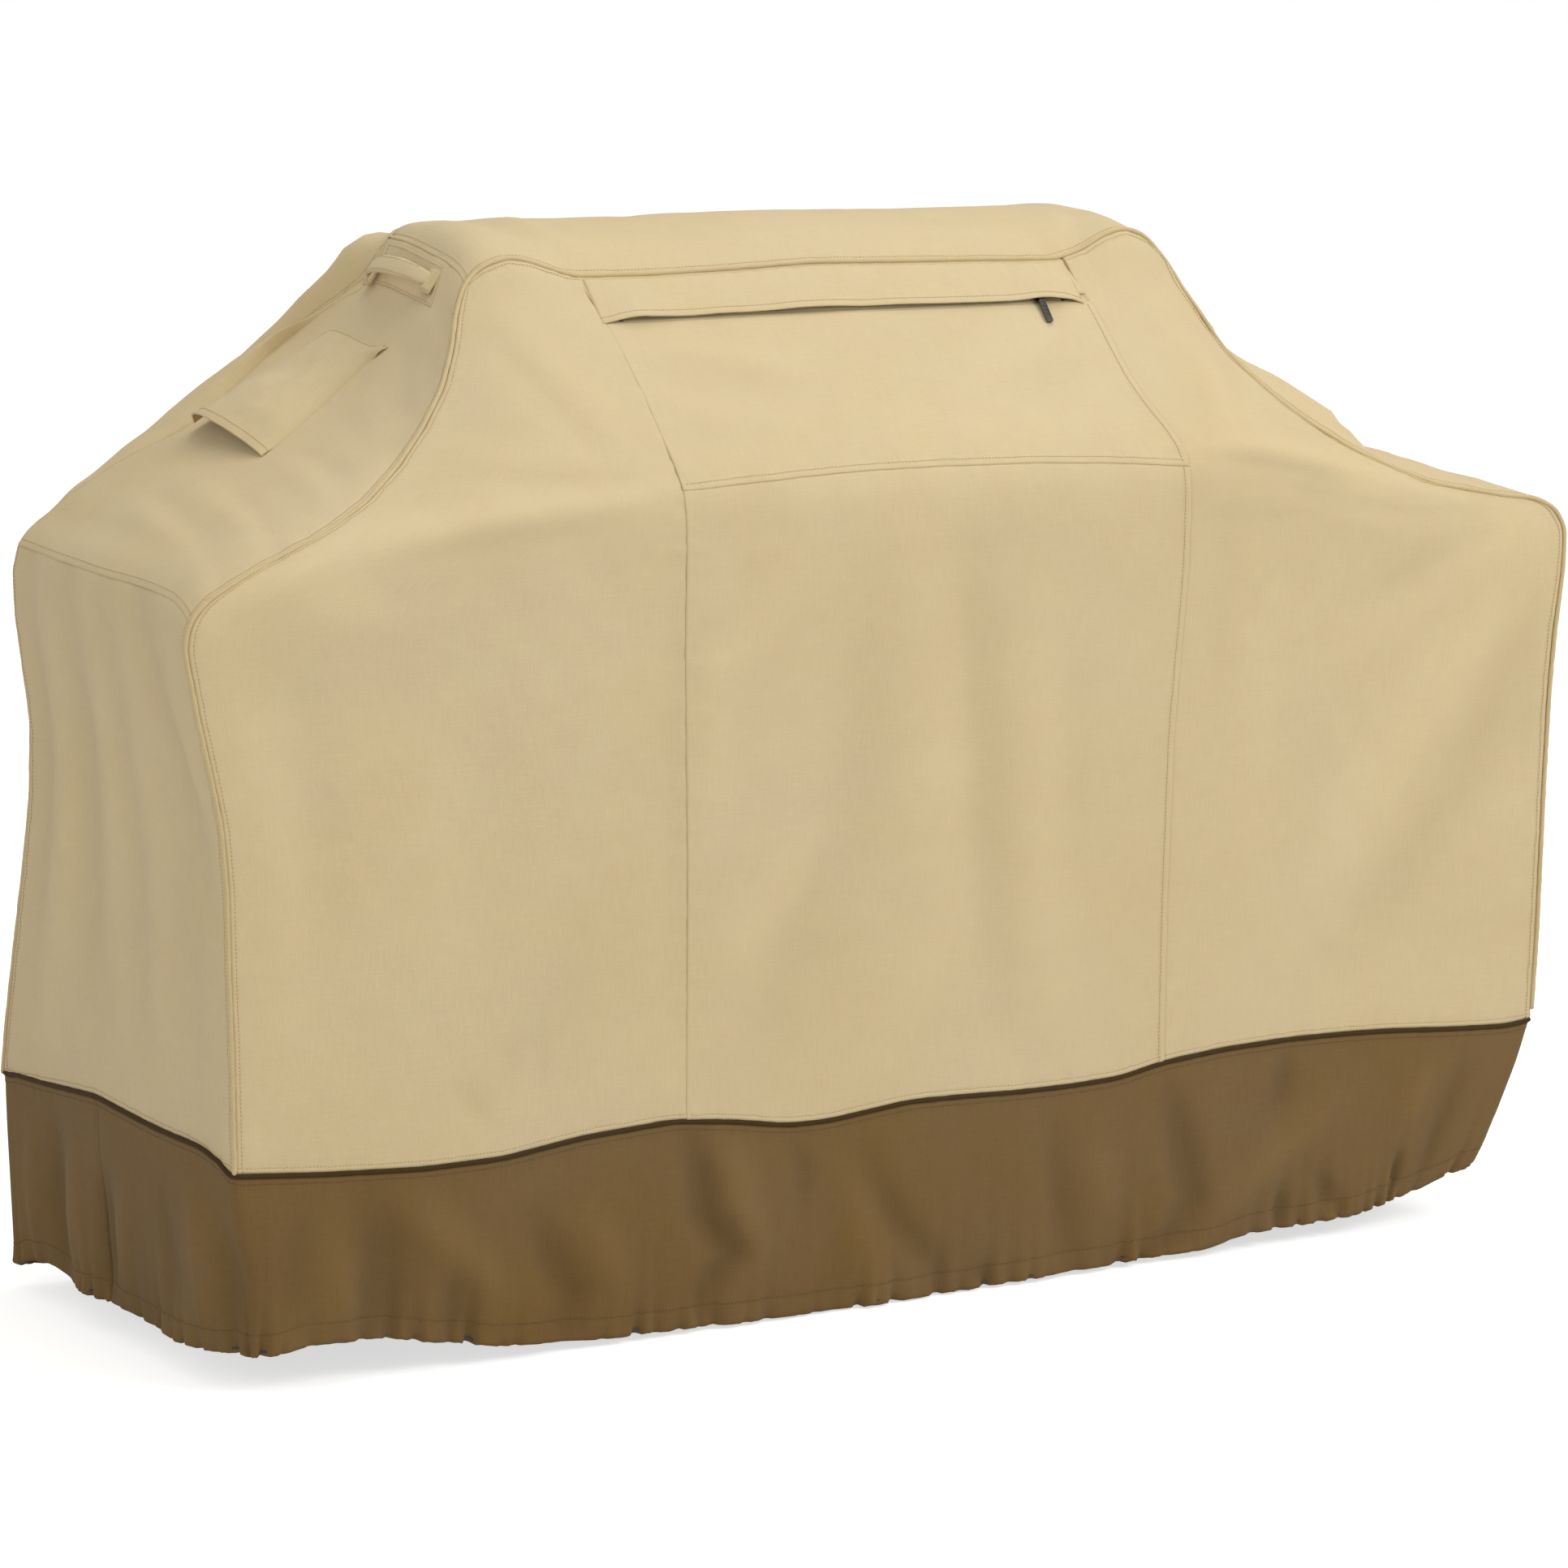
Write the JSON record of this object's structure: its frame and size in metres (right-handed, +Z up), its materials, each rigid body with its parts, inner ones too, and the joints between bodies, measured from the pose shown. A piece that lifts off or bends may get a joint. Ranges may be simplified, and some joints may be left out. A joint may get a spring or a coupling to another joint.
{
  "type": "grill cover",
  "caption": "Fitted fabric cover for a cart grill with side shelves: sloped shoulders, hooded vents, handles, zipped pocket under a flap, and a skirt with an elastic draw-cord hem.",
  "frame": {"origin": "on the floor, under the middle of the whole length and depth (cord lock counted in)", "axes": "+X to the right seen from the front, along the length; -Y towards the front; +Z up"},
  "size_m": [1.8242, 0.6368, 1.229],
  "materials": {
    "tan_canvas": "woven matt, coated",
    "brown_canvas": "woven matt, coated",
    "dark_welt": "woven matt",
    "lining": "matt",
    "mesh": "open mesh",
    "foam": "soft",
    "elastic": "braided",
    "black_plastic": "matt",
    "brass_metal": "aged",
    "spring_steel": "bright",
    "zip_tape": "woven",
    "zip_coil": "satin",
    "zip_metal": "satin",
    "pull_rubber": "matt moulded"
  },
  "bodies": {
    "cover": {"front_left_panel": "tan_canvas", "front_right_panel": "tan_canvas", "front_centre_lower_panel": "tan_canvas", "front_centre_upper_panel": "tan_canvas", "front_header_panel": "tan_canvas", "pocket_flap": "tan_canvas", "pocket_bag": "lining", "top_panel": "tan_canvas", "left_slope_panel": "tan_canvas", "right_slope_panel": "tan_canvas", "left_end_panel": "tan_canvas", "right_end_panel": "tan_canvas", "back_left_panel": "tan_canvas", "back_right_panel": "tan_canvas", "back_centre_panel": "tan_canvas", "left_vent_hood": "tan_canvas", "right_vent_hood": "tan_canvas", "left_vent_mesh": "mesh", "right_vent_mesh": "mesh", "left_vent_stay": "black_plastic", "right_vent_stay": "black_plastic", "left_handle_patch": "tan_canvas", "right_handle_patch": "tan_canvas", "left_handle_tabs": "tan_canvas", "right_handle_tabs": "tan_canvas", "front_welt": "tan_canvas", "back_welt": "tan_canvas", "skirt_welt": "dark_welt", "skirt_front": "brown_canvas", "skirt_back": "brown_canvas", "elastic_cord": "elastic", "cord_eyelets": "brass_metal", "cord_end_clip": "black_plastic", "zip_upper_tape": "zip_tape", "zip_lower_tape": "zip_tape", "zip_upper_coil": "zip_coil", "zip_lower_coil": "zip_coil", "zip_stops": "zip_metal"},
    "slider": {"zip_slider": "zip_metal"},
    "pull": {"zip_pull": "pull_rubber"},
    "cord_lock": {"cord_lock_body": "black_plastic", "cord_lock_spring": "spring_steel"},
    "lock_button": {"cord_lock_button": "black_plastic"},
    "left_handle": {"left_handle_grip": "tan_canvas", "left_handle_pad": "foam"},
    "right_handle": {"right_handle_grip": "tan_canvas", "right_handle_pad": "foam"}
  },
  "joints": [
    {"name": "zip_slide", "type": "slide", "parent": "cover", "child": "slider", "axis": [-1, 0, 0], "range_m": [-0.022, 0.545]},
    {"name": "zip_pull_swing", "type": "hinge", "parent": "slider", "child": "pull", "pos_m": [0.262, -0.15114, 1.13398], "axis": [-1, 0, 0], "range_deg": [0, 80]},
    {"name": "cord_lock_slide", "type": "slide", "parent": "cover", "child": "cord_lock", "axis": [1, 0, 0], "range_m": [-0.095, 0.022]},
    {"name": "cord_lock_press", "type": "slide", "parent": "cord_lock", "child": "lock_button", "axis": [0, -1, 0], "range_m": [0, 0.0035], "stiffness_N_per_m": 2500, "springref_m": -0.001, "deforming": ["cord_lock_spring"]},
    {"name": "left_handle_swing", "type": "hinge", "parent": "cover", "child": "left_handle", "pos_m": [-0.47708, 0.03938, 1.17389], "axis": [0, 1, 0], "range_deg": [-25, 25]},
    {"name": "right_handle_swing", "type": "hinge", "parent": "cover", "child": "right_handle", "pos_m": [0.47708, 0.03938, 1.17389], "axis": [0, -1, 0], "range_deg": [-25, 25]}
  ]
}
